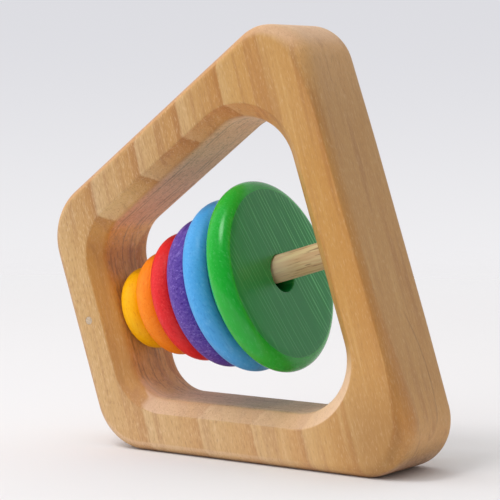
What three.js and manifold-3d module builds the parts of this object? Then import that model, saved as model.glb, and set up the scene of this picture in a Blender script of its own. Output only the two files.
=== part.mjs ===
// Rattle teether: a wooden trapezoid frame that stands on one leg, with six loose discs on a pinned rod.
// Millimetres, +Z up, front towards -Y. The origin lies on the floor, under the middle of the frame.

import * as THREE from 'three';
import { mergeVertices } from 'three/addons/utils/BufferGeometryUtils.js';
import Module from 'manifold-3d';

// Frame, measured between its corners before they are rounded
const LONG_SIDE = 106.5;
const SHORT_SIDE = 54;
const SPAN = 76.3; // between the outer sides of the two bars
const THICKNESS = 22;
const BAR_WIDTH = 10.8; // the two parallel bars that carry the rod
const LEG_WIDTH = 11.7; // the two slanted legs
const ACUTE_RADIUS = 10.4; // outer corners at the long bar
const OBTUSE_RADIUS = 13; // outer corners at the short bar
const WINDOW_ACUTE_RADIUS = 12;
const WINDOW_OBTUSE_RADIUS = 9.7;
const EDGE_ROUND = 2.4; // roundover of the outer edges
const WINDOW_BEVEL = 3.1; // bevel of the window's edges

// Discs
const YELLOW_DIAMETER = 18.6;
const ORANGE_DIAMETER = 23.6;
const RED_DIAMETER = 29.2;
const PURPLE_DIAMETER = 33.8;
const BLUE_DIAMETER = 38.7;
const GREEN_DIAMETER = 42.6;
const DISC_THICKNESS = 6;
const DISC_RIM = 2.6; // how far the rounded rim reaches in from the edge
const DISC_PLAY = 2.4; // how much wider a disc's hole is than the rod
const LAST_STANDOFF = 1.6; // how far the last disc stands off from the stack

// Their order from the short bar to the long bar
const DISCS = [
  { colour: 'yellow', diameter: YELLOW_DIAMETER, paint: 0xf7b21c },
  { colour: 'orange', diameter: ORANGE_DIAMETER, paint: 0xf58a2b },
  { colour: 'red', diameter: RED_DIAMETER, paint: 0xdc2c30 },
  { colour: 'purple', diameter: PURPLE_DIAMETER, paint: 0x5d4aa0 },
  { colour: 'blue', diameter: BLUE_DIAMETER, paint: 0x4f9fdc },
  { colour: 'green', diameter: GREEN_DIAMETER, paint: 0x2a9138 },
];

// Rod and the pin that locks it in the short bar
const ROD_DIAMETER = 6;
const ROD_EASE = 0.5; // chamfer of the rod's ends
const ROD_SOCKET = 6; // depth of the blind hole in the long bar
const ROD_RISE_SHORT = 1.2; // the rod's axis above the middle of the short bar
const ROD_RISE_LONG = -1.2; // the rod's axis above the middle of the long bar
const PIN_DIAMETER = 1.8;
const PIN_INSET = 4.4; // from the short bar's outer side to the pin's axis
const PIN_BITE = 3; // how far the pin reaches into the wood behind the rod

const CLEARANCE = 0.3; // between neighbouring pieces
const CUT_MARGIN = 1; // how far a cut runs out past the surface

// Facets
const ARC_STEPS = 10;
const ROUND_STEPS = 5;
const RIM_STEPS = 6;
const DISC_FACETS = 48;
const ROD_FACETS = 32;
const PIN_FACETS = 16;

// Sizes that follow from those above
const PITCH = DISC_THICKNESS + CLEARANCE;
const LEG_RISE = (LONG_SIDE - SHORT_SIDE) / 2;
const LEG_ANGLE = Math.atan2(LEG_RISE, SPAN);
const ROD_RADIUS = ROD_DIAMETER / 2;
const ROD_SKEW = Math.atan2(ROD_RISE_LONG - ROD_RISE_SHORT, SPAN);
const ROD_END = (SPAN - BAR_WIDTH + ROD_SOCKET) / Math.cos(ROD_SKEW);
const HOLE_RADIUS = ROD_RADIUS + DISC_PLAY / 2;
const DISC_DROP = HOLE_RADIUS - ROD_RADIUS - CLEARANCE; // discs hang on the rod by their holes
const PIN_RADIUS = PIN_DIAMETER / 2;
const PIN_LENGTH = THICKNESS / 2 + ROD_RADIUS + PIN_BITE;

const wasm = await Module();
wasm.setup();

// A closed geometry as a solid that can be joined and cut
function solidOf(geometry) {
  geometry.deleteAttribute('normal');
  geometry.deleteAttribute('uv');
  const merged = mergeVertices(geometry, 1e-4);
  const vertProperties = new Float32Array(merged.attributes.position.array);
  const triVerts = new Uint32Array(merged.index.array);
  return new wasm.Manifold(new wasm.Mesh({ numProp: 3, vertProperties, triVerts }));
}

// A joined or cut solid as a geometry again
function geometryOf(solid) {
  const { vertProperties, triVerts } = solid.getMesh();
  const geometry = new THREE.BufferGeometry();
  geometry.setAttribute('position', new THREE.BufferAttribute(vertProperties, 3));
  geometry.setIndex(new THREE.BufferAttribute(triVerts, 1));
  geometry.computeVertexNormals();
  return geometry;
}

function wood(color, roughness) {
  return new THREE.MeshStandardMaterial({ color, roughness, metalness: 0 });
}

function piece(name, geometry, material) {
  const mesh = new THREE.Mesh(geometry, material);
  mesh.name = name;
  return mesh;
}

// The frame is drawn lying on its line of symmetry: x runs from the short bar to the long bar.
// Corners of the trapezoid with its bars and legs moved in, counter-clockwise from the lower short end
function trapezoidCorners(barInset, legInset) {
  const halfHeight = (x) => SHORT_SIDE / 2 + (LEG_RISE * x) / SPAN - legInset / Math.cos(LEG_ANGLE);
  const near = barInset;
  const far = SPAN - barInset;
  return [
    new THREE.Vector2(near, -halfHeight(near)),
    new THREE.Vector2(far, -halfHeight(far)),
    new THREE.Vector2(far, halfHeight(far)),
    new THREE.Vector2(near, halfHeight(near)),
  ];
}

// Outline of a convex polygon whose corners are rounded, each by its own radius
function roundedShape(corners, radii) {
  const shape = new THREE.Shape();
  corners.forEach((corner, i) => {
    const before = corners[(i + corners.length - 1) % corners.length];
    const after = corners[(i + 1) % corners.length];
    const incoming = corner.clone().sub(before).normalize();
    const outgoing = after.clone().sub(corner).normalize();
    const turn = Math.acos(incoming.dot(outgoing));
    const inward = outgoing.clone().sub(incoming).normalize();
    const centre = inward.multiplyScalar(radii[i] / Math.cos(turn / 2)).add(corner);
    const start = Math.atan2(incoming.y, incoming.x) - Math.PI / 2;
    shape.absarc(centre.x, centre.y, radii[i], start, start + turn, false);
  });
  shape.closePath();
  return shape;
}

const outerShape = roundedShape(
  trapezoidCorners(0, 0),
  [OBTUSE_RADIUS, ACUTE_RADIUS, ACUTE_RADIUS, OBTUSE_RADIUS],
);
const windowShape = roundedShape(
  trapezoidCorners(BAR_WIDTH, LEG_WIDTH),
  [WINDOW_OBTUSE_RADIUS, WINDOW_ACUTE_RADIUS, WINDOW_ACUTE_RADIUS, WINDOW_OBTUSE_RADIUS],
);

// The full block of the frame, with its outer edges rounded over
function frameBlock() {
  const straight = THICKNESS - 2 * EDGE_ROUND;
  const block = new THREE.ExtrudeGeometry(outerShape, {
    depth: straight,
    curveSegments: ARC_STEPS,
    bevelEnabled: true,
    bevelThickness: EDGE_ROUND,
    bevelSize: EDGE_ROUND,
    bevelOffset: -EDGE_ROUND,
    bevelSegments: ROUND_STEPS,
  });
  return block.translate(0, 0, -straight / 2);
}

function windowCut() {
  const depth = THICKNESS + 2 * CUT_MARGIN;
  const options = { depth, curveSegments: ARC_STEPS, bevelEnabled: false };
  const cut = new THREE.ExtrudeGeometry(windowShape, options);
  return cut.translate(0, 0, -depth / 2);
}

// A flared plug that widens the window towards the front face at 45 degrees. The window is symmetric, so
// the same plug turned over bevels the back.
function bevelCut() {
  const reach = WINDOW_BEVEL + CUT_MARGIN;
  const cut = new THREE.ExtrudeGeometry(windowShape, {
    depth: CUT_MARGIN,
    curveSegments: ARC_STEPS,
    bevelEnabled: true,
    bevelThickness: reach,
    bevelSize: reach,
    bevelSegments: 1,
  });
  return cut.translate(0, 0, THICKNESS / 2 + CUT_MARGIN);
}

// A turned piece drawn upwards from y = 0 is laid along the rod, from a place on the rod's axis
function layAlongRod(geometry, place) {
  const level = geometry.rotateZ(-Math.PI / 2).translate(place, 0, 0);
  return level.rotateZ(ROD_SKEW).translate(0, ROD_RISE_SHORT, 0);
}

function turned(profile, facets) {
  const points = profile.map(([radius, height]) => new THREE.Vector2(radius, height));
  return new THREE.LatheGeometry(points, facets);
}

// The bore runs through the short bar, across the window and on into the long bar
function rodBore() {
  const radius = ROD_RADIUS + CLEARANCE;
  const length = ROD_END + CLEARANCE + CUT_MARGIN;
  return layAlongRod(turned([[0, 0], [radius, 0], [radius, length], [0, length]], ROD_FACETS), -CUT_MARGIN);
}

function rodBlank() {
  const length = ROD_END - CLEARANCE;
  const tip = ROD_RADIUS - ROD_EASE;
  const profile = [
    [0, 0],
    [tip, 0],
    [ROD_RADIUS, ROD_EASE],
    [ROD_RADIUS, length - ROD_EASE],
    [tip, length],
    [0, length],
  ];
  return layAlongRod(turned(profile, ROD_FACETS), CLEARANCE);
}

// The pin's axis crosses the rod's axis, square to the front face
const pinPlace = new THREE.Vector2(PIN_INSET, ROD_RISE_SHORT + PIN_INSET * Math.tan(ROD_SKEW));

// A round bar at the pin's place, from the front face down to a depth
function pinBar(radius, above, depth) {
  const bar = new THREE.CylinderGeometry(radius, radius, above + depth, PIN_FACETS);
  return bar.rotateX(Math.PI / 2).translate(pinPlace.x, pinPlace.y, THICKNESS / 2 + (above - depth) / 2);
}

function pinHole() {
  return solidOf(pinBar(PIN_RADIUS + CLEARANCE, CUT_MARGIN, PIN_LENGTH + CLEARANCE));
}

function makeFrame() {
  const body = solidOf(frameBlock())
    .subtract(solidOf(windowCut()))
    .subtract(solidOf(bevelCut()))
    .subtract(solidOf(bevelCut().rotateX(Math.PI)))
    .subtract(solidOf(rodBore()))
    .subtract(pinHole());
  return piece('trapezoid_frame', geometryOf(body), wood(0xc8a069, 0.55));
}

function makeRod() {
  return piece('rod', geometryOf(solidOf(rodBlank()).subtract(pinHole())), wood(0xd3b088, 0.6));
}

function makePin() {
  return piece('rod_pin', pinBar(PIN_RADIUS, 0, PIN_LENGTH), wood(0xb9a892, 0.5));
}

// A flat disc with a hole and a rim rounded as a half ellipse
function makeDisc({ colour, diameter, paint }, place) {
  const half = DISC_THICKNESS / 2;
  const flat = diameter / 2 - DISC_RIM;
  const profile = [[HOLE_RADIUS, -half]];
  for (let step = 0; step <= RIM_STEPS; step += 1) {
    const angle = -Math.PI / 2 + (Math.PI * step) / RIM_STEPS;
    profile.push([flat + DISC_RIM * Math.cos(angle), half * Math.sin(angle)]);
  }
  profile.push([HOLE_RADIUS, half], [HOLE_RADIUS, -half]);
  const disc = piece(`disc_${colour}`, turned(profile, DISC_FACETS), wood(paint, 0.4));
  disc.rotation.z = -Math.PI / 2;
  disc.position.set(place, -DISC_DROP, 0);
  return disc;
}

// The stack leans on the short bar's inner wall. The rod isn't quite square to that wall, so the first disc
// is tipped a little and stands off by as much as its edge leans over. The last disc has come loose from the stack.
function makeDiscs() {
  const group = new THREE.Group();
  const tip = (DISCS[0].diameter / 2) * Math.abs(Math.sin(ROD_SKEW));
  const first = BAR_WIDTH + CLEARANCE + tip + DISC_THICKNESS / 2;
  const last = DISCS.length - 1;
  DISCS.forEach((disc, i) => {
    const standoff = i === last ? LAST_STANDOFF : 0;
    group.add(makeDisc(disc, first + i * PITCH + standoff));
  });
  group.position.y = ROD_RISE_SHORT;
  group.rotation.z = ROD_SKEW;
  return group;
}

// The frame is turned upright, front to -Y, until its lower leg lies flat on the floor
const toy = new THREE.Group();
toy.add(makeFrame(), makeRod(), makePin(), makeDiscs());
toy.rotation.set(Math.PI / 2, 0, LEG_ANGLE);
const uprightX = ({ x, y }) => x * Math.cos(LEG_ANGLE) - y * Math.sin(LEG_ANGLE);
const across = outerShape.getPoints(ARC_STEPS).map(uprightX);
toy.position.x = -(Math.min(...across) + Math.max(...across)) / 2;
toy.position.z = (SHORT_SIDE / 2) * Math.cos(LEG_ANGLE);

const rattle = new THREE.Group();
rattle.add(toy);

export default rattle;
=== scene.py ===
"""Rattle teether: a wooden trapezoid frame that stands on one leg.

Six stained discs hang loose on a rod that crosses the frame's window, and a pin keeps the rod in place.
"""

import math
from typing import NamedTuple

import bmesh
import bpy
from mathutils import Matrix, Vector


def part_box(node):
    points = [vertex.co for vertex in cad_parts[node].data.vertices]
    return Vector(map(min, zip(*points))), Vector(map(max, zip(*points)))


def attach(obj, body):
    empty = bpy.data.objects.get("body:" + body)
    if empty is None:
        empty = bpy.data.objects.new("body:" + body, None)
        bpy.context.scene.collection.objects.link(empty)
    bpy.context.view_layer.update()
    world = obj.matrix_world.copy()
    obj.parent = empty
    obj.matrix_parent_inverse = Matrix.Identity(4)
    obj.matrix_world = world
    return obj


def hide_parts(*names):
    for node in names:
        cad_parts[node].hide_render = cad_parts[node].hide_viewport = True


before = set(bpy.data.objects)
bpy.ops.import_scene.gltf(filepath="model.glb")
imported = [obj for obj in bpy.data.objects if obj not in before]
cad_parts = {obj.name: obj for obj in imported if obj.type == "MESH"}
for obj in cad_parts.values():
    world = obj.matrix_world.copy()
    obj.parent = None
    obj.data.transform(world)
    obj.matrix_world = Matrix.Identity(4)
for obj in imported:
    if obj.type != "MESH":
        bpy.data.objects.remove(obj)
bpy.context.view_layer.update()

MM = 0.001

# Frame, in millimetres as in the solids
LONG_SIDE = 106.5
SHORT_SIDE = 54.0
SPAN = 76.3
THICKNESS = 22.0
BAR_WIDTH = 10.8
LEG_WIDTH = 11.7
OUTER_RADII = (13.0, 10.4, 10.4, 13.0)
WINDOW_RADII = (9.7, 12.0, 12.0, 9.7)
WINDOW_BEVEL = 3.1
FRONT_EASE = 0.3  # where the bevel meets the face
WALL_EASE = 1.0  # where the bevel meets the window's wall

# Sanding of the frame's outer edges
EDGE_ROUND = 2.4
BAR_SANDING = 0.9  # reach over the long bar's front face
BAR_SANDING_DEPTH = 3.4  # reach down the long bar's side
BAR_SANDING_START = math.radians(10)  # the crisp turn that the long bar's edge starts with
CORNER_SANDING = 2.8  # added over the face at the long bar's two corners
CORNER_SANDING_DEPTH = 2.2  # added down the side there
CORNER_REACH = 22.0  # how far from a corner the first fades out
CORNER_DEPTH_REACH = 30.0  # how far from a corner the second fades out
LEG_SHARE = 0.3  # how much of a corner's sanding runs on over the leg
BACK_CORNER_ROUND = 0.8

# Discs
DISC_THICKNESS = 6.0
DISC_RIM = 2.6  # how far the rounded rim reaches in from the edge
RIM_TURN = math.radians(76)  # how far the rim turns before it meets the face
HOLE_RADIUS = 4.2
HOLE_EASE = 0.35
FIRST_DIAMETER = 18.6
LAST_STANDOFF = 1.6  # how far the last disc stands off from the stack
SAW_PITCH = 1.1  # between the saw's marks on a disc's face

# Rod and pin
ROD_RADIUS = 3.0
ROD_EASE = 0.5
ROD_SOCKET = 6.0
ROD_RISE_SHORT = 1.2
ROD_RISE_LONG = -1.2
PIN_RADIUS = 0.9
PIN_INSET = 4.4
PIN_LENGTH = 17.0
PIN_DOME = ((0.0, 0), (0.005, 0.35), (0.015, 0.6), (0.03, 0.8), (0.06, PIN_RADIUS))  # depth and radius
PIN_END_GAP = 0.2  # left at the bottom of the pin's hole

CLEARANCE = 0.3  # between the solids
SNUG = 0.06  # between the rod and its holes in the scene
PIN_SNUG = 0.015
CUT_MARGIN = 2.0  # how far a bore runs out past the surface

# Sizes that follow from those above
LEG_RISE = (LONG_SIDE - SHORT_SIDE) / 2
LEG_ANGLE = math.atan2(LEG_RISE, SPAN)
HALF = THICKNESS / 2
ROD_SKEW = math.atan2(ROD_RISE_LONG - ROD_RISE_SHORT, SPAN)
ROD_END = (SPAN - BAR_WIDTH + ROD_SOCKET) / math.cos(ROD_SKEW)
DISC_PITCH = DISC_THICKNESS + CLEARANCE
FIRST_TIP = FIRST_DIAMETER / 2 * abs(math.sin(ROD_SKEW))
FIRST_DISC = BAR_WIDTH + CLEARANCE + FIRST_TIP + DISC_THICKNESS / 2

# Points along the meshes
ARC_STEPS = 20
SIDE_STEPS = (26, 34, 26, 18)
FACE_SHARES = (0.17, 0.34, 0.51, 0.68, 0.85, 0.97)
WALL_STEPS = 4
WALL_EASE_STEPS = 6
EASE_STEPS = 4
EDGE_STEPS = 10
RIM_STEPS = 16
DISC_FACE_STEPS = 8
ROD_STEPS = 40
DISC_FACETS = 160
ROD_FACETS = 96
PIN_FACETS = 48
FLOOR_FACETS = 96
SHARP_EDGE = 35  # degrees
DISC_SHARP_EDGE = 40


# Lines round the frame

def trapezoid(bar_inset, leg_inset):
    """Corners of the trapezoid with its bars and legs moved in: a runs from the short bar to the long bar."""
    def half_height(a):
        return SHORT_SIDE / 2 + LEG_RISE * a / SPAN - leg_inset / math.cos(LEG_ANGLE)
    near = bar_inset
    far = SPAN - bar_inset
    return [
        Vector((near, -half_height(near))),
        Vector((far, -half_height(far))),
        Vector((far, half_height(far))),
        Vector((near, half_height(near))),
    ]


def rounded_line(corners, radii):
    """A closed line of points with rounded corners, with as many points whatever its size."""
    arcs = []
    for i, corner in enumerate(corners):
        incoming = (corner - corners[i - 1]).normalized()
        outgoing = (corners[(i + 1) % 4] - corner).normalized()
        turn = incoming.angle(outgoing)
        centre = corner + (outgoing - incoming).normalized() * radii[i] / math.cos(turn / 2)
        start = math.atan2(incoming.y, incoming.x) - math.pi / 2
        angles = [start + turn * k / ARC_STEPS for k in range(ARC_STEPS + 1)]
        arcs.append([centre + radii[i] * Vector((math.cos(t), math.sin(t))) for t in angles])
    line = []
    for i, arc in enumerate(arcs):
        after = arcs[(i + 1) % 4][0]
        line += arc + [arc[-1].lerp(after, k / SIDE_STEPS[i]) for k in range(1, SIDE_STEPS[i])]
    return line


def outer_line(inset=0):
    """The frame's outline in the middle of its thickness, moved in by an inset."""
    line = rounded_line(trapezoid(inset, inset), [r - inset for r in OUTER_RADII])
    return [p.to_3d() for p in line]


def window_line(outset, lift):
    """The window's outline, moved out by an outset and to the front by a lift."""
    corners = trapezoid(BAR_WIDTH - outset, LEG_WIDTH - outset)
    line = rounded_line(corners, [r + outset for r in WINDOW_RADII])
    return [p.to_3d() + Vector((0, 0, lift)) for p in line]


def smooth(share):
    """A smooth step from 0 to 1."""
    share = min(1.0, max(0.0, share))
    return share * share * (3 - 2 * share)


def ways_to_corners():
    """How far each point of the outer line is from the middle of the nearer of the long bar's two corners."""
    line = outer_line()
    first = ARC_STEPS + SIDE_STEPS[0]
    second = first + ARC_STEPS + SIDE_STEPS[1]
    middles = [line[place + ARC_STEPS // 2] for place in (first, second)]
    return [min((p - m).length for m in middles) for p in line]


def front_sanding():
    """Reach over the face, depth down the side and first turn of the front's edge, point by point.

    The long bar's edge starts with a crisp line close to its side, and its two corners are sanded far wider.
    """
    found = []
    for p, way in zip(outer_line(), ways_to_corners()):
        on_bar = smooth((p.x - SPAN) / OUTER_RADII[1] + 1)
        reach = EDGE_ROUND + (BAR_SANDING - EDGE_ROUND) * on_bar
        reach += CORNER_SANDING * smooth(1 - way / CORNER_REACH) * (LEG_SHARE + (1 - LEG_SHARE) * on_bar)
        depth = EDGE_ROUND + (BAR_SANDING_DEPTH - EDGE_ROUND) * on_bar
        depth += CORNER_SANDING_DEPTH * smooth(1 - way / CORNER_DEPTH_REACH) * on_bar
        found.append((reach, depth, BAR_SANDING_START * on_bar))
    return found


def back_sanding():
    """The same for the back, whose even round grows a little at the long bar's corners."""
    found = []
    for way in ways_to_corners():
        reach = EDGE_ROUND + BACK_CORNER_ROUND * smooth(1 - way / CORNER_DEPTH_REACH)
        found.append((reach, reach, 0.0))
    return found


def sanded_line(sanding, turned_share, height_share=1.0):
    """A line over the sanded edge: turned_share goes from the face, at 0, to the side, at 1.

    From there height_share goes from the edge's foot, at 1, to the middle of the thickness, at 0.
    """
    line = []
    for outer, inner, (reach, depth, first) in zip(outer_line(), outer_line(1), sanding):
        turn = first + (math.pi / 2 - first) * turned_share
        inset = reach * (1 - math.sin(turn)) / (1 - math.sin(first))
        drop = depth * (math.cos(first) - math.cos(turn)) / math.cos(first)
        line.append(outer.lerp(inner, inset) + Vector((0, 0, (HALF - drop) * height_share)))
    return line


def eased_corner(before, corner, after, reach, steps=EASE_STEPS):
    """Points of a small curve that takes the place of a corner."""
    first = corner + (before - corner).normalized() * reach
    last = corner + (after - corner).normalized() * reach
    curve = []
    for k in range(steps + 1):
        t = k / steps
        curve.append(first.lerp(corner, t).lerp(corner.lerp(last, t), t))
    return curve


def half_lines(sanding):
    """Lines from the middle of the window's wall, over the bevel and the face, to the outer side."""
    wall_top = Vector((0, HALF - WINDOW_BEVEL))
    bevel_top = Vector((WINDOW_BEVEL, HALF))
    lower = eased_corner(Vector((0, 0)), wall_top, bevel_top, WALL_EASE, WALL_EASE_STEPS)
    upper = eased_corner(wall_top, bevel_top, Vector((BAR_WIDTH, HALF)), FRONT_EASE)
    wall = [Vector((0, lower[0].y * k / WALL_STEPS)) for k in range(WALL_STEPS)]
    bevel = [lower[-1].lerp(upper[0], k / WALL_STEPS) for k in range(1, WALL_STEPS)]
    window = [window_line(p.x, p.y) for p in wall + lower + bevel + upper]
    edge = [sanded_line(sanding, k / EDGE_STEPS) for k in range(EDGE_STEPS + 1)]
    face = [[p.lerp(q, share) for p, q in zip(window[-1], edge[0])] for share in FACE_SHARES]
    side = [sanded_line(sanding, 1, 1 - k / WALL_STEPS) for k in range(1, WALL_STEPS)]
    return window + face + edge + side


# Places of the pieces

def stand_matrix():
    """From the frame's own lines in millimetres to metres: b runs up the bars, c to the front."""
    cos = math.cos(LEG_ANGLE)
    sin = math.sin(LEG_ANGLE)
    left = min(p.x * cos - p.y * sin for p in outer_line())
    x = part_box("trapezoid_frame")[0].x - left * MM
    z = SHORT_SIDE / 2 * cos * MM
    return Matrix((
        (cos * MM, -sin * MM, 0, x),
        (0, 0, -MM, 0),
        (sin * MM, cos * MM, 0, z),
        (0, 0, 0, 1),
    ))


STAND = stand_matrix()
ROD_LINE = STAND @ Matrix.Translation((0, ROD_RISE_SHORT, 0)) @ Matrix.Rotation(ROD_SKEW, 4, "Z")
PIN_RISE = ROD_RISE_SHORT + PIN_INSET * math.tan(ROD_SKEW)
PIN_LINE = STAND @ Matrix.Translation((PIN_INSET, PIN_RISE, HALF)) @ Matrix.Rotation(math.pi / 2, 4, "Y")


def disc_line(along, drop):
    """A disc's axis, from its middle: so far along the rod, and so far below the rod's own axis."""
    return ROD_LINE @ Matrix.Translation((along, -drop, 0))


# Meshes

def piece_from(name, mesh, sharp=SHARP_EDGE):
    """An object with smooth shading, broken at edges that turn by more than the given degrees."""
    bmesh.ops.recalc_face_normals(mesh, faces=mesh.faces)
    data = bpy.data.meshes.new(name)
    mesh.to_mesh(data)
    mesh.free()
    data.polygons.foreach_set("use_smooth", [True] * len(data.polygons))
    data.set_sharp_from_angle(angle=math.radians(sharp))
    piece = bpy.data.objects.new(name, data)
    bpy.context.scene.collection.objects.link(piece)
    return piece


def joined_lines(lines, place):
    """A ring of quads through closed lines, each joined to the next and the last to the first."""
    mesh = bmesh.new()
    rows = [[mesh.verts.new(place @ p) for p in line] for line in lines]
    count = len(rows[0])
    for row, after in zip(rows, rows[1:] + rows[:1]):
        for k in range(count):
            j = (k + 1) % count
            mesh.faces.new((row[k], row[j], after[j], after[k]))
    return mesh


def circle(x, radius, facets):
    """Points of a circle about the x axis."""
    angles = [2 * math.pi * k / facets for k in range(facets)]
    return [Vector((x, radius * math.cos(t), radius * math.sin(t))) for t in angles]


def turned(profile, place, facets, closed=False):
    """A turned piece: (distance along the axis, radius) points swept about the x axis of place."""
    mesh = bmesh.new()
    rows = []
    for x, radius in profile:
        if radius == 0:
            rows.append([mesh.verts.new(place @ Vector((x, 0, 0)))] * facets)
        else:
            rows.append([mesh.verts.new(place @ p) for p in circle(x, radius, facets)])
    for row, after in zip(rows, rows[1:] + (rows[:1] if closed else [])):
        for k in range(facets):
            j = (k + 1) % facets
            corners = list(dict.fromkeys((row[k], row[j], after[j], after[k])))
            if len(corners) > 2:
                mesh.faces.new(corners)
    return mesh


def bored(piece, cutter):
    """Cuts a hole in a piece by a turned cutter, which is removed."""
    cut = piece.modifiers.new("bore", "BOOLEAN")
    cut.operation = "DIFFERENCE"
    cut.solver = "EXACT"
    cut.object = cutter
    with bpy.context.temp_override(object=piece, active_object=piece, selected_objects=[piece]):
        bpy.ops.object.modifier_apply(modifier=cut.name)
    bpy.data.objects.remove(cutter)


def bore(length, radius):
    """Profile of a cutter that starts outside the piece."""
    return [(-CUT_MARGIN, 0), (-CUT_MARGIN, radius), (length, radius), (length, 0)]


def make_frame():
    """The board with its bores for the rod and the pin."""
    front = half_lines(front_sanding())
    back = half_lines(back_sanding())
    turned_over = [[Vector((p.x, p.y, -p.z)) for p in line] for line in reversed(back[1:])]
    piece = piece_from("frame_board", joined_lines(front + [outer_line()] + turned_over, STAND))
    rod_bore = turned(bore(ROD_END + SNUG, ROD_RADIUS + SNUG), ROD_LINE, ROD_FACETS)
    bored(piece, piece_from("rod_bore", rod_bore))
    pin_bore = turned(bore(PIN_LENGTH, PIN_RADIUS + PIN_SNUG), PIN_LINE, PIN_FACETS)
    bored(piece, piece_from("pin_bore", pin_bore))
    piece.data.set_sharp_from_angle(angle=math.radians(SHARP_EDGE))
    return piece


def make_rod():
    """The dowel, with eased ends."""
    length = ROD_END - 2 * SNUG
    flat = ROD_RADIUS - ROD_EASE
    near = [(SNUG, 0), (SNUG, ROD_RADIUS / 2), (SNUG, flat), (SNUG + ROD_EASE, ROD_RADIUS)]
    shaft = [(length * k / ROD_STEPS, ROD_RADIUS) for k in range(1, ROD_STEPS)]
    far = [(length - x, radius) for x, radius in reversed(near)]
    return piece_from("rod_dowel", turned(near + shaft + far, ROD_LINE, ROD_FACETS))


def make_pin():
    """The pin's end is sanded to a shallow dome, level with the face."""
    end = PIN_LENGTH - PIN_END_GAP
    profile = [*PIN_DOME, (end, PIN_RADIUS), (end, 0)]
    return piece_from("rod_pin_peg", turned(profile, PIN_LINE, PIN_FACETS))


def disc_profile(diameter):
    """A disc's section, one half the mirror of the other: rim, soft edge, flat face and eased hole."""
    half = DISC_THICKNESS / 2
    flat = diameter / 2 - DISC_RIM
    deep = DISC_RIM / (1 - math.cos(RIM_TURN))
    tall = half / math.sin(RIM_TURN)
    turns = [RIM_TURN * k / RIM_STEPS for k in range(RIM_STEPS + 1)]
    rim = [(tall * math.sin(t), diameter / 2 - deep * (1 - math.cos(t))) for t in turns]
    across = HOLE_RADIUS + HOLE_EASE - flat
    face = [(half, flat + across * k / DISC_FACE_STEPS) for k in range(1, DISC_FACE_STEPS + 1)]
    hole_edge = Vector((half, HOLE_RADIUS))
    hole = eased_corner(Vector((half, flat)), hole_edge, Vector((0, HOLE_RADIUS)), HOLE_EASE)
    upper = rim + face + [tuple(p) for p in hole[1:]]
    return [(-x, radius) for x, radius in reversed(upper)] + upper[1:]


def make_disc(disc, place):
    mesh = turned(disc_profile(disc.diameter), place, DISC_FACETS, closed=True)
    return piece_from(f"{disc.colour}_disc", mesh, DISC_SHARP_EDGE)


# Shader nodes

RELIEF = 0.04 * MM  # depth of the grain


class Value:
    """A socket whose sums and products are Math nodes."""

    def __init__(self, nodes, socket):
        self.nodes = nodes
        self.socket = socket

    def of(self, output):
        """Another output of the same node."""
        return Value(self.nodes, self.socket.node.outputs[output])

    def math(self, operation, *values):
        return self.nodes.add("ShaderNodeMath", {"operation": operation}, dict(enumerate(values)))

    def __add__(self, other):
        return self.math("ADD", self, other)

    __radd__ = __add__

    def __mul__(self, other):
        return self.math("MULTIPLY", self, other)

    __rmul__ = __mul__

    def __sub__(self, other):
        return self.math("SUBTRACT", self, other)

    def __rsub__(self, other):
        return self.math("SUBTRACT", other, self)

    def __abs__(self):
        return self.math("ABSOLUTE", self)

    def part(self):
        """What is left over the whole number below."""
        return self.math("FRACT", self)

    def root(self):
        return self.math("SQRT", self)

    def most(self, other):
        return self.math("MAXIMUM", self, other)

    def between(self, low, high):
        """0 at low, 1 at high and beyond, and a smooth step between them. Low may be the higher number."""
        settings = {"interpolation_type": "SMOOTHSTEP"}
        sockets = {"Value": self, "From Min": low, "From Max": high}
        return self.nodes.add("ShaderNodeMapRange", settings, sockets)


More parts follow.
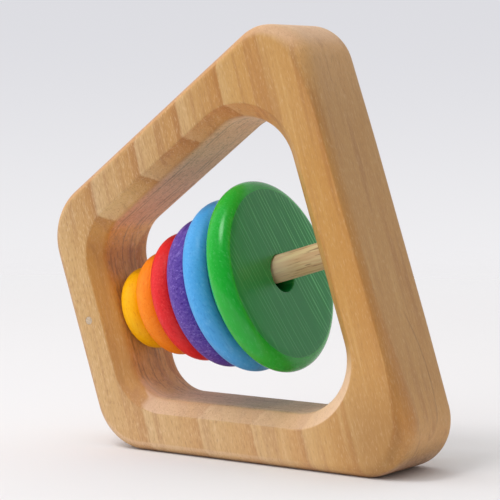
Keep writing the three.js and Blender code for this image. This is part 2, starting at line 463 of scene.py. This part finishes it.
class Nodes:
    """A node tree that is being written."""

    def __init__(self, tree):
        self.tree = tree
        tree.nodes.clear()

    def add(self, kind, settings=None, sockets=None, output=0):
        """A new node: its settings are set first, then its sockets' values or links. Returns one output."""
        node = self.tree.nodes.new(kind)
        for name, value in (settings or {}).items():
            if name == "stops":
                self.set_stops(node.color_ramp.elements, value)
            else:
                setattr(node, name, value)
        for name, value in (sockets or {}).items():
            if isinstance(value, Value):
                self.tree.links.new(value.socket, node.inputs[name])
            else:
                node.inputs[name].default_value = value
        return Value(self, node.outputs[output]) if node.outputs else None

    def set_stops(self, elements, stops):
        """A new ramp has two stops, and the others are added."""
        for k, (place, colour) in enumerate(stops):
            stop = elements[k] if k < 2 else elements.new(place)
            stop.position = place
            stop.color = colour

    def mix(self, share, first, second, blend="MIX"):
        settings = {"data_type": "RGBA", "blend_type": blend, "clamp_factor": True}
        return self.add("ShaderNodeMix", settings, {0: share, 6: first, 7: second}, 2)

    def tint(self, share, colour, factors):
        """A colour with its red, green and blue multiplied, over a share of the surface."""
        return self.mix(share, colour, (*factors, 1.0), "MULTIPLY")

    def dot(self, vector, axis):
        return self.add("ShaderNodeVectorMath", {"operation": "DOT_PRODUCT"}, {0: vector, 1: axis}, "Value")

    def noise(self, x, y, z, detail=2.0, roughness=0.5):
        """Noise with about one blot for each whole step of x, y or z."""
        vector = self.add("ShaderNodeCombineXYZ", None, {"X": x, "Y": y, "Z": z})
        sockets = {"Vector": vector, "Scale": 1.0, "Detail": detail, "Roughness": roughness}
        return self.add("ShaderNodeTexNoise", None, sockets)

    def ramp(self, value, stops):
        return self.add("ShaderNodeValToRGB", {"stops": stops}, {"Fac": value})

    def bump(self, height, strength):
        return self.add("ShaderNodeBump", None, {"Height": height, "Distance": RELIEF, "Strength": strength})

    def axes(self, place):
        """Distances in millimetres along the three axes of a place, from its origin."""
        position = self.add("ShaderNodeTexCoord", None, None, "Object")
        found = []
        for k in range(3):
            axis = place.col[k].to_3d().normalized()
            found.append(self.dot(position, axis / MM) - axis.dot(place.translation) / MM)
        return found

    def facing(self, axis):
        """How squarely the surface faces along an axis, from -1 to 1."""
        normal = self.add("ShaderNodeTexCoord", None, None, "Normal")
        return self.dot(normal, axis.to_3d().normalized())

    def surface(self, shader):
        self.add("ShaderNodeOutputMaterial", None, {"Surface": shader})

    def principled(self, sockets):
        self.surface(self.add("ShaderNodeBsdfPrincipled", None, sockets))


def tone(red, green, blue):
    """A colour from its screen values, 0 to 255."""
    def linear(value):
        value /= 255
        return value / 12.92 if value <= 0.04045 else ((value + 0.055) / 1.055) ** 2.4
    return (linear(red), linear(green), linear(blue), 1.0)


def new_finish(name):
    material = bpy.data.materials.new(name)
    material.use_nodes = True
    return material, Nodes(material.node_tree)


# Finish of the frame

GRAIN_SLANT = 0.037  # of the grain to the bars
RING_SLANT = 0.85  # of the growth rings through the board's thickness
RING_SWAY = 1.4  # millimetres that a ring wanders
RING_RAGGED = 0.9  # millimetres that a ring's edge is rough
FIRST_YEAR = 0.14  # where in a ring the front face starts, at the short bar
YEARS_PER_MM = 0.0632
YEARS_GAIN = 0.000185  # by which the rings grow closer towards the long bar
BOW_MIDDLE = -31.5  # up the bars, of the ring that shows as a bow on the long bar's side
BOW_DEPTH = -4.1
BOW_BEND = 0.0155

# A ring's colours from its first growth to its last
RING_TONES = [
    (0.0, tone(186, 134, 74)),
    (0.035, tone(212, 176, 125)),
    (0.15, tone(209, 170, 115)),
    (0.55, tone(205, 161, 101)),
    (0.85, tone(199, 149, 86)),
    (0.97, tone(189, 136, 74)),
    (1.0, tone(186, 134, 74)),
]

# Dark streaks of the window's wall: place in the board's thickness, and half width
WALL_STREAKS = [(6.3, 0.55), (5.0, 0.4), (1.9, 0.35), (-1.2, 0.6), (-2.6, 0.4), (-5.6, 0.5)]


class BoardPlaces:
    """Where a point of the frame is, and which way its surface faces there.

    In millimetres, a runs from the outer side of the short bar to that of the long bar, b up the bars from
    their middle, and c from the middle of the board's thickness to its front. The finish is laid by these.
    """

    def __init__(self, nodes):
        self.a, self.b, self.c = nodes.axes(STAND)
        self.grain = self.a - GRAIN_SLANT * self.b
        self.to_long_bar = nodes.facing(STAND.col[0])
        self.up_bars = nodes.facing(STAND.col[1])
        self.to_front = nodes.facing(STAND.col[2])
        self.on_face = self.to_front.between(0.85, 0.97)
        self.on_bevel = self.to_front.between(0.2, 0.5)
        self.on_long_side = self.to_long_bar.between(0.5, 0.9) * self.a.between(60, 70)
        self.on_wall = self.to_front.between(0.5, 0.15) * (1 - self.on_long_side)
        self.on_end_grain = abs(self.up_bars).between(0.74, 0.97)
        self.amber = self.amber_share()

    def amber_share(self):
        """How deep an amber the wood is given: more towards the long bar and where it turns towards it, less
        on its side and top.
        """
        pale_top = self.b.between(22, 40) * self.to_long_bar.between(0.15, 0.5)
        deepened = self.a.between(10, 78).most(self.to_long_bar.between(0.1, 0.6))
        return deepened * (1 - 0.24 * self.on_long_side) * (1 - 0.35 * pale_top) * 0.8

    def facing_up(self, low, high):
        """Surfaces that turn up the bars: none at low, all at high, and none again on end grain."""
        return self.up_bars.between(low, high) * self.up_bars.between(0.95, 0.75)


def growth_rings(nodes, at):
    """Growth rings, calmer on the long bar, with broad pale and dark bands over them."""
    sway = nodes.noise(at.a * 0.05, at.b * 0.02, at.c * 0.05) - 0.5
    ragged = nodes.noise(at.grain * 1.4, at.b * 0.10, at.c * 1.4) - 0.5
    depth = at.grain + RING_SLANT * (at.c - HALF) + RING_SWAY * sway + RING_RAGGED * ragged
    years = FIRST_YEAR + YEARS_PER_MM * depth + YEARS_GAIN * depth * depth
    wood = nodes.ramp(years.part(), RING_TONES)
    calm_bar = at.a.between(58, 67) * (0.65 + 0.33 * at.b.between(-22, -36))
    wood = nodes.mix(at.on_long_side.most(calm_bar) * 0.85, wood, tone(203, 160, 108))
    band = nodes.noise(at.grain * 0.5, at.b * 0.018, at.c * 0.35)
    wood = nodes.mix(band.between(0.40, 0.25) * 0.5, wood, tone(222, 188, 140))
    return nodes.mix(band.between(0.52, 0.70) * 0.5, wood, tone(176, 124, 76))


def amber_and_painted_shade(nodes, at, wood):
    """Amber, a pale lower leg, and painted shade: along the turn of the long bar's edge, at its low corner
    and on the short bar's outer edge.
    """
    wood = nodes.tint(at.amber, wood, (0.98, 0.82, 0.46))
    pale_low = at.b.between(10, -45) * at.a.between(74, 40)
    wood = nodes.mix(pale_low * 0.3, wood, tone(226, 192, 152))
    # Painted shade: a darker, warmer line where the long bar's front edge starts to turn towards its side.
    edge_start = HALF - EDGE_ROUND + 0.4 - 2.6 * at.b.between(-8, -36)
    off_face = at.to_front.between(0.99, 0.94) * at.a.between(66, 72)
    painted_edge_shade = off_face * (at.c - edge_start).between(-1.2, 0.6)
    edge_shade_share = (0.25 + 0.4 * at.b.between(20, -30)) * at.b.between(-47, -40) * at.b.between(40, 24)
    wood = nodes.mix(painted_edge_shade * edge_shade_share, wood, tone(198, 134, 64))
    # Painted shade: the front darkened at the long bar's low corner.
    painted_low_corner = at.a.between(54, 68) * at.b.between(-26, -42) * at.to_front.between(0.5, 0.9)
    wood = nodes.tint(painted_low_corner, wood, (0.78, 0.76, 0.74))
    # Painted shade: the short bar's outer edge darker where it turns away from the long bar.
    painted_outer_shade = at.to_long_bar.between(-0.1, -0.6) * at.a.between(4, 2)
    return nodes.mix(painted_outer_shade * 0.55, wood, tone(170, 116, 72))


def bowed_ring(nodes, at, wood):
    """One dark ring that comes out on the long bar's side, near its lower end."""
    along = at.b - BOW_MIDDLE
    off_ring = at.c - BOW_DEPTH - BOW_BEND * along * along
    ring = abs(off_ring).between(0.4, 0.1) * at.b.between(-44, -40) * at.b.between(-16, -20)
    return nodes.mix(ring * at.on_long_side * 0.4, wood, tone(150, 98, 50))


def sawn_sides(nodes, at, wood):
    """End grain on the legs' sides, and specks and broken dark streaks on the window's wall."""
    # End grain; where it faces up the bars it is painted a little paler, which stands in for light from
    # above.
    end_grain = nodes.mix(at.up_bars.between(-0.2, 0.6), tone(214, 172, 136), tone(212, 178, 142))
    wood = nodes.mix(at.on_end_grain * 0.75, wood, end_grain)
    speck = nodes.noise(at.a * 1.5, at.b * 0.6, at.c * 1.5, 3.0, 0.65)
    wood = nodes.mix(at.on_wall * speck.between(0.50, 0.70) * 0.55, wood, tone(142, 98, 72))
    wood = nodes.mix(at.on_wall * speck.between(0.45, 0.30) * 0.35, wood, tone(228, 194, 164))
    sway = nodes.noise(at.a * 0.06, at.b * 0.06, at.c * 0.08) - 0.5
    wander = at.c + 0.03 * at.a + 1.6 * sway
    streak = 0
    for place, width in WALL_STREAKS:
        streak = abs(wander - place).between(width, 0.1 * width).most(streak)
    broken = nodes.noise(at.a * 0.2, at.b * 0.2, at.c * 0.5).between(0.34, 0.62)
    return nodes.mix(at.on_wall * streak * broken * 0.45, wood, tone(112, 74, 56))


def painted_light_and_shade(nodes, at, wood):
    """Painted light and shade on the window's bevels and walls and the long bar's side, and some slow changes
    of tone.
    """
    # Painted light: the upper leg's bevel, which faces down, made paler, and warmer towards the long bar.
    down_bevel = at.up_bars.between(-0.3, -0.6) * at.up_bars.between(-0.97, -0.8) * at.b.between(0, 10)
    wood = nodes.tint(down_bevel, wood, (1.2, 1.34, 1.42))
    wood = nodes.tint(down_bevel * at.a.between(20, 40), wood, (0.88, 0.66, 0.60))
    upper_leg = at.on_face * at.b.between(16, 26) * at.a.between(62, 48)
    wood = nodes.tint(upper_leg, wood, (0.94, 0.93, 0.97))
    bar_middle = at.on_face * at.a.between(62, 68) * at.b.between(28, 14) * at.b.between(-24, -10)
    wood = nodes.tint(bar_middle, wood, (0.99, 0.95, 0.78))
    # Painted light: the window's wall made paler, but for the short bar's and the lower leg's.
    upper_wall = at.on_wall * at.b.between(-22, -12) * at.a.between(8, 15)
    wood = nodes.tint(upper_wall, wood, (1.25, 1.25, 1.2))
    # Painted shade: the short bar's wall darker towards its top.
    short_wall_top = at.on_wall * at.a.between(16, 11) * at.b.between(2, 10)
    wood = nodes.tint(short_wall_top, wood, (0.9, 0.89, 0.96))
    # Painted light: the long bar's side paler towards both ends.
    side_ends = at.on_long_side * at.b.between(-31, -47).most(at.b.between(24, 46))
    wood = nodes.tint(side_ends, wood, (1.2, 1.2, 1.26))
    # Painted shade: the lower leg's wall darker.
    lower_wall = at.on_wall * at.b.between(-14, -20)
    return nodes.tint(lower_wall, wood, (0.86, 0.88, 0.95))


def painted_edge_light_and_shade(nodes, at, wood):
    """Edges painted paler or browner than the face as light and shade fall on them, and a painted shadow
    under the lower leg.
    """
    # Painted light: the lower leg's bevel and wall, which face up, made paler.
    low_bevel = at.facing_up(0.49, 0.56) * at.on_bevel * at.b.between(22, 12)
    wood = nodes.mix(low_bevel * (0.36 + 0.3 * at.a.between(26, 14)), wood, tone(226, 190, 162))
    low_wall = at.on_wall * at.up_bars.between(0.2, 0.5) * at.up_bars.between(0.96, 0.85)
    low_wall = low_wall * at.a.between(34, 22) * at.b.between(-6, -12) * at.c.between(1.0, 7.0)
    wood = nodes.mix(low_wall * 0.5, wood, tone(230, 196, 168))
    # Painted light: the bevel paler where it turns at the long bar's low corner.
    painted_low_corner = at.on_bevel * at.up_bars.between(0.0, 0.4) * at.up_bars.between(0.97, 0.8)
    painted_low_corner = painted_low_corner * at.a.between(44, 62) * at.b.between(10, 0)
    wood = nodes.mix(painted_low_corner * 0.8, wood, tone(244, 206, 172))
    # Painted light: an orange lit strip on the upper leg's top edge, and the long bar's top corner paler.
    top_edge = at.facing_up(0.28, 0.46) * at.on_bevel * at.b.between(12, 22)
    wood = nodes.mix(top_edge * 0.7, wood, tone(212, 156, 98))
    top_corner = at.up_bars.between(0.1, 0.5) * at.a.between(60, 70) * at.b.between(38, 46)
    wood = nodes.mix(top_corner * 0.55, wood, tone(216, 180, 150))
    # Painted shade: the upper leg's top edge browner where it turns further up.
    top_side = at.a.between(66, 56) * at.up_bars.between(0.5, 0.7) * at.b.between(12, 22)
    wood = nodes.mix(top_side * 0.55, wood, tone(184, 142, 116))
    # Painted shadow: the underside of the lower leg's edge dark, near the long bar.
    underside = at.up_bars.between(-0.5, -0.85) * at.to_front.between(0.05, 0.2)
    underside = underside * at.a.between(72, 62) * at.b.between(-10, -20)
    wood = nodes.mix(underside * 0.6, wood, tone(110, 62, 32))
    # Painted highlight: a pale line where the lower leg's front edge starts to round under.
    low_round = at.up_bars.between(-0.06, -0.2) * at.up_bars.between(-0.55, -0.35)
    low_round = low_round * at.to_front.between(0.6, 0.85) * at.b.between(-16, -22) * at.a.between(58, 30)
    return nodes.mix(low_round * 0.35, wood, tone(236, 204, 172))


def oiled_board():
    """Flat-sawn board: wide slanting growth rings, fine fibres and short pores along the bars."""
    material, nodes = new_finish("oiled_board")
    at = BoardPlaces(nodes)
    wood = growth_rings(nodes, at)
    # Some of these layers paint light and shade into the wood's colour.
    for layer in (amber_and_painted_shade, bowed_ring, sawn_sides, painted_light_and_shade, painted_edge_light_and_shade):
        wood = layer(nodes, at, wood)
    plain = 1.25 - 0.9 * at.amber
    fibre = nodes.noise(at.grain * 2.2, at.b * 0.14, at.c * 2.2, 4.0, 0.6)
    wood = nodes.mix(plain * fibre.between(0.5, 0.78) * 0.36, wood, tone(222, 188, 144))
    wood = nodes.mix(plain * fibre.between(0.5, 0.24) * 0.28, wood, tone(172, 122, 74))
    fleck = nodes.noise(at.grain * 3.8, at.b * 0.75, at.c * 3.8, 2.0, 0.55)
    pore = fleck.between(0.54, 0.72)
    wood = nodes.mix(plain * pore * 0.36, wood, tone(160, 112, 68))
    wood = nodes.mix(plain * fleck.between(0.46, 0.28) * 0.42, wood, tone(228, 196, 154))
    rough = 0.42 + 0.12 * fibre + 0.10 * at.on_end_grain
    relief = nodes.bump(fibre * 0.4 - pore, 0.6)
    nodes.principled({"Base Color": wood, "Roughness": rough, "Normal": relief})
    return material


# Finishes of the rod, the pin and the discs

def bare_dowel():
    """Straight dowel with brown streaks along it, and painted light where it comes out of the last disc."""
    material, nodes = new_finish("bare_dowel")
    a, b, c = nodes.axes(ROD_LINE)
    streak = nodes.noise(a * 0.07, b * 0.9, c * 0.9, 3.0, 0.6)
    fine = nodes.noise(a * 0.16, b * 2.6, c * 2.6)
    wood = nodes.mix(streak.between(0.38, 0.62), tone(222, 200, 150), tone(206, 168, 124))
    wood = nodes.mix(fine.between(0.56, 0.66) * 0.75, wood, tone(140, 96, 60))
    # Painted light: the dowel paler where it comes out of the last disc.
    wood = nodes.mix(a.between(57, 51) * 0.5, wood, tone(246, 224, 188))
    nodes.principled({"Base Color": wood, "Roughness": 0.6, "Normal": nodes.bump(fine, 0.5)})
    return material


def cut_pin():
    """End grain of the pin, with fine specks."""
    material, nodes = new_finish("cut_pin")
    a, b, c = nodes.axes(PIN_LINE)
    speck = nodes.noise(a * 3.0, b * 3.0, c * 3.0, 3.0)
    wood = nodes.mix(speck.between(0.35, 0.65), tone(186, 164, 140), tone(206, 186, 160))
    nodes.principled({"Base Color": wood, "Roughness": 0.5})
    return material


class Disc(NamedTuple):
    """A disc's diameter and drop on the rod in millimetres, its grain's angle in degrees, and its stain.

    figure is how strongly the grain shows, and the field for the crest what the painted shadow on the top
    keeps of the deep tone, if any.
    """
    colour: str
    diameter: float
    drop: float
    grain_angle: float
    roughness: float
    mirror: float
    figure: float
    crest_painted_shadow: float
    rim_tone: tuple
    face_tone: tuple
    pale_tone: tuple
    deep_tone: tuple


# In their order from the short bar to the long bar
DISCS = [
    Disc(
        "yellow", diameter=FIRST_DIAMETER, drop=0.25, grain_angle=20,
        roughness=0.42, mirror=0.22, figure=1.0, crest_painted_shadow=0.5,
        rim_tone=tone(252, 184, 0), face_tone=tone(232, 150, 0),
        pale_tone=tone(255, 200, 30), deep_tone=tone(228, 146, 0),
    ),
    Disc(
        "orange", diameter=23.6, drop=0.66, grain_angle=-40,
        roughness=0.42, mirror=0.22, figure=1.0, crest_painted_shadow=0.5,
        rim_tone=tone(252, 138, 22), face_tone=tone(228, 108, 16),
        pale_tone=tone(254, 160, 56), deep_tone=tone(232, 110, 12),
    ),
    Disc(
        "red", diameter=29.2, drop=0.66, grain_angle=65,
        roughness=0.36, mirror=0.28, figure=1.0, crest_painted_shadow=0.15,
        rim_tone=tone(230, 34, 38), face_tone=tone(190, 22, 22),
        pale_tone=tone(242, 74, 72), deep_tone=tone(200, 18, 24),
    ),
    Disc(
        "purple", diameter=33.8, drop=1.14, grain_angle=-75,
        roughness=0.44, mirror=0.25, figure=1.7, crest_painted_shadow=0.15,
        rim_tone=tone(96, 66, 160), face_tone=tone(72, 50, 132),
        pale_tone=tone(146, 122, 200), deep_tone=tone(64, 38, 128),
    ),
    Disc(
        "blue", diameter=38.7, drop=1.14, grain_angle=35,
        roughness=0.34, mirror=0.4, figure=1.0, crest_painted_shadow=0.15,
        rim_tone=tone(72, 166, 232), face_tone=tone(46, 132, 204),
        pale_tone=tone(116, 190, 244), deep_tone=tone(48, 136, 214),
    ),
    Disc(
        "green", diameter=42.6, drop=1.14, grain_angle=25,
        roughness=0.20, mirror=0.5, figure=0.4, crest_painted_shadow=None,
        rim_tone=tone(18, 176, 46), face_tone=tone(14, 144, 64),
        pale_tone=tone(104, 210, 128), deep_tone=tone(12, 144, 38),
    ),
]

PAINTED_SHADOW_FACING = Vector((-0.15, 0.10, 0.98))  # the way that the painted shadow on a disc's top faces
FRONT = Vector((0, -1, 0))


def smooth_rim(nodes, disc, fibre, fleck):
    """The rim's colour: fibres and flecks, and on all but the last disc a faint painted shadow on its top."""
    rim = nodes.mix(fibre.between(0.45, 0.75) * 0.35 * disc.figure, disc.rim_tone, disc.pale_tone)
    rim = nodes.mix(fleck.between(0.55, 0.70) * 0.5 * disc.figure, rim, disc.deep_tone)
    rim = nodes.mix(fleck.between(0.42, 0.28) * 0.5 * disc.figure, rim, disc.pale_tone)
    if disc.crest_painted_shadow is None:
        return rim
    # Painted shadow: the top of the rim darker, on its front half.
    painted_shadow = nodes.facing(PAINTED_SHADOW_FACING).between(0.75, 0.90) * nodes.facing(FRONT).between(0.05, 0.25)
    return nodes.mix(painted_shadow * 0.3, rim, (*(disc.crest_painted_shadow * v for v in disc.deep_tone[:3]), 1.0))


def sawn_face(nodes, disc, x, along, across):
    """The face's colour, and the lines that a fine saw left on it, with painted sheen that makes them
    stronger towards one side.
    """
    drift = nodes.noise(along * 0.03, across * 0.35, x * 0.1)
    stroke = (across * (1 / SAW_PITCH) + 2.2 * drift + 0.0016 * along * along).part()
    from_middle = abs(stroke - 0.5)
    depth = nodes.noise(along * 0.06, across * 1.1, x * 0.1)
    line = from_middle.between(0.28, 0.48) * depth.between(0.34, 0.62)
    # The saw's lines are pale; that they and their grooves grow stronger towards one side is painted sheen.
    face = nodes.mix(line * (0.3 + 0.6 * across.between(4, -12)), disc.face_tone, disc.pale_tone)
    groove = from_middle.between(0.2, 0.04) * depth.between(0.4, 0.62) * across.between(0, -12)
    return nodes.mix(groove * 0.5, face, disc.deep_tone), line


def stained_disc(disc, place):
    """Stained wood whose grain lies in the disc's plane: a smooth rim and sawn faces."""
    material, nodes = new_finish(f"{disc.colour}_stain")
    x, along, across = nodes.axes(place @ Matrix.Rotation(math.radians(disc.grain_angle), 4, "X"))
    radius = (along * along + across * across).root()
    flat = disc.diameter / 2 - DISC_RIM
    on_rim = radius.between(flat - 0.1, flat + 0.25)
    fibre = nodes.noise(along * 0.14, across * 1.3, x * 1.3, 4.0, 0.6)
    fleck = nodes.noise(along * 0.6, across * 2.4, x * 2.4, 2.0, 0.55)
    face, line = sawn_face(nodes, disc, x, along, across)
    nodes.principled({
        "Base Color": nodes.mix(on_rim, face, smooth_rim(nodes, disc, fibre, fleck)),
        "Roughness": disc.roughness + 0.10 * fibre + 0.06 * (1 - on_rim),
        "Normal": nodes.bump(line * (1 - on_rim) + 0.3 * fibre, 0.5),
        "Specular IOR Level": disc.mirror,
    })
    return material


# Floor, light and camera, in metres

FLOOR_RADIUS = 0.8
FLOOR_FADE = (0.16, 0.6)  # where the floor starts to fade, and where it has gone

# Broad glows: degrees round from the front to the right, degrees up, and strength
GLOWS = [
    (-60, 50, 1.45),
    (-45, 10, 0.65),
    (180, 20, 0.62),
    (180, 50, 0.15),
    (0, 90, 0.08),
    (90, 20, 0.25),
    (15, 6, 0.16),
]

SOFTBOX_AXIS = Vector((0.27, -0.27, 0.92))
SOFTBOX_EDGE = (15, 9)  # degrees from its middle where it starts, and where it is full
SOFTBOX_STRENGTH = 10
BRIGHT_BACK = (-0.35, 0.94, 0)  # where the backdrop is brightest in reflections
MIRRORED_FADE = 0.75  # how much darker it is there towards the front

LAMP_PLACE = Vector((-0.16, -0.27, 0.60))
LAMP_TARGET = Vector((0, 0, 0.04))
LAMP_SIZE = (0.05, 0.24)
LAMP_POWER = 0.9

CAMERA_PLACE = (0.26206, -0.39640, 0.08258)
CAMERA_TURN = 33.445  # degrees round from the front to the long bar's side
CAMERA_RISE = 4.518
CAMERA_ROLL = 0.597
CAMERA_LENS = 156.98  # millimetres
CAMERA_SENSOR = 36


def direction_to(turn, rise):
    """From the toy towards a place so many degrees round from the front to the right, and so many up."""
    turn = math.radians(turn)
    rise = math.radians(rise)
    return Vector((math.sin(turn) * math.cos(rise), -math.cos(turn) * math.cos(rise), math.sin(rise)))


def make_floor():
    """A round floor that fades into the pale background away from the toy."""
    upward = Matrix.Rotation(math.pi / 2, 4, "Y")
    floor = piece_from("floor", turned([(0, 0), (0, FLOOR_RADIUS)], upward, FLOOR_FACETS))
    material, nodes = new_finish("pale_floor")
    position = nodes.add("ShaderNodeTexCoord", None, None, "Object")
    away = nodes.add("ShaderNodeVectorMath", {"operation": "LENGTH"}, {0: position}, "Value")
    paper = nodes.add("ShaderNodeBsdfDiffuse", None, {"Color": tone(231, 229, 230)})
    clear = nodes.add("ShaderNodeBsdfTransparent")
    nodes.surface(nodes.add("ShaderNodeMixShader", None, {0: away.between(*FLOOR_FADE), 1: paper, 2: clear}))
    floor.data.materials.append(material)


def studio_glow(nodes, direction):
    """The light on the toy, from broad glows round it."""
    glow = 0
    for turn, rise, strength in GLOWS:
        towards = nodes.dot(direction, direction_to(turn, rise)).most(0)
        glow = glow + strength * towards * towards
    return nodes.add("ShaderNodeBackground", None, {"Color": tone(255, 255, 255), "Strength": glow})


def pale_backdrop(nodes, direction, mirrored):
    """What the camera sees. In reflections it fades towards the front, and a softbox shows overhead."""
    height = nodes.dot(direction, (0, 0, 1))
    pale = nodes.mix(height.between(-0.11, 0.04), tone(241, 240, 242), tone(221, 221, 226))
    fade = nodes.dot(direction, BRIGHT_BACK).between(0.45, -0.35)
    start, full = (math.cos(math.radians(angle)) for angle in SOFTBOX_EDGE)
    softbox = nodes.dot(direction, SOFTBOX_AXIS.normalized()).between(start, full)
    strength = 1 - MIRRORED_FADE * mirrored * fade + SOFTBOX_STRENGTH * mirrored * softbox
    return nodes.add("ShaderNodeBackground", None, {"Color": pale, "Strength": strength})


def light_world():
    """The studio: glows that light the toy, and a backdrop for the camera and for reflections."""
    world = bpy.data.worlds.new("studio")
    bpy.context.scene.world = world
    world.use_nodes = True
    nodes = Nodes(world.node_tree)
    path = nodes.add("ShaderNodeLightPath")
    direction = nodes.add("ShaderNodeTexCoord", None, None, "Generated")
    mirrored = path.of("Is Glossy Ray").most(path.of("Is Transmission Ray"))
    seen = mirrored.most(path.of("Is Camera Ray"))
    light = studio_glow(nodes, direction)
    backdrop = pale_backdrop(nodes, direction, mirrored)
    shader = nodes.add("ShaderNodeMixShader", None, {0: seen, 1: light, 2: backdrop})
    nodes.add("ShaderNodeOutputWorld", None, {"Surface": shader})


def make_lamp():
    """A soft lamp overhead, which reflections don't show."""
    data = bpy.data.lights.new("overhead_lamp", "AREA")
    data.shape = "RECTANGLE"
    data.size, data.size_y = LAMP_SIZE
    data.energy = LAMP_POWER
    lamp = bpy.data.objects.new("overhead_lamp", data)
    lamp.visible_glossy = False
    lamp.location = LAMP_PLACE
    lamp.rotation_euler = (LAMP_TARGET - LAMP_PLACE).to_track_quat("-Z", "Y").to_euler()
    bpy.context.scene.collection.objects.link(lamp)


def make_camera():
    """The photographed view, from the long bar's side and a little above."""
    ahead = -direction_to(CAMERA_TURN, CAMERA_RISE)
    right = ahead.cross(Vector((0, 0, 1))).normalized()
    upward = right.cross(ahead)
    level = Matrix((right, upward, -ahead)).transposed()
    rolled = level @ Matrix.Rotation(math.radians(CAMERA_ROLL), 3, "Z")
    data = bpy.data.cameras.new("camera")
    data.sensor_width = CAMERA_SENSOR
    data.lens = CAMERA_LENS
    camera = bpy.data.objects.new("camera", data)
    camera.matrix_world = Matrix.Translation(CAMERA_PLACE) @ rolled.to_4x4()
    bpy.context.scene.collection.objects.link(camera)
    bpy.context.scene.camera = camera


# The toy and its stage

def dress(piece, material, body, node):
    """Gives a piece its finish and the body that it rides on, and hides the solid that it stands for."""
    piece.data.materials.clear()
    piece.data.materials.append(material)
    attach(piece, body)
    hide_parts(node)


dress(make_frame(), oiled_board(), "frame", "trapezoid_frame")
dress(make_rod(), bare_dowel(), "frame", "rod")
dress(make_pin(), cut_pin(), "frame", "rod_pin")

for order, disc in enumerate(DISCS):
    standoff = LAST_STANDOFF if disc is DISCS[-1] else 0
    place = disc_line(FIRST_DISC + order * DISC_PITCH + standoff, disc.drop)
    piece = make_disc(disc, place)
    dress(piece, stained_disc(disc, place), disc.colour, f"disc_{disc.colour}")

make_floor()
light_world()
make_lamp()
make_camera()
bpy.context.scene.view_settings.view_transform = "Standard"
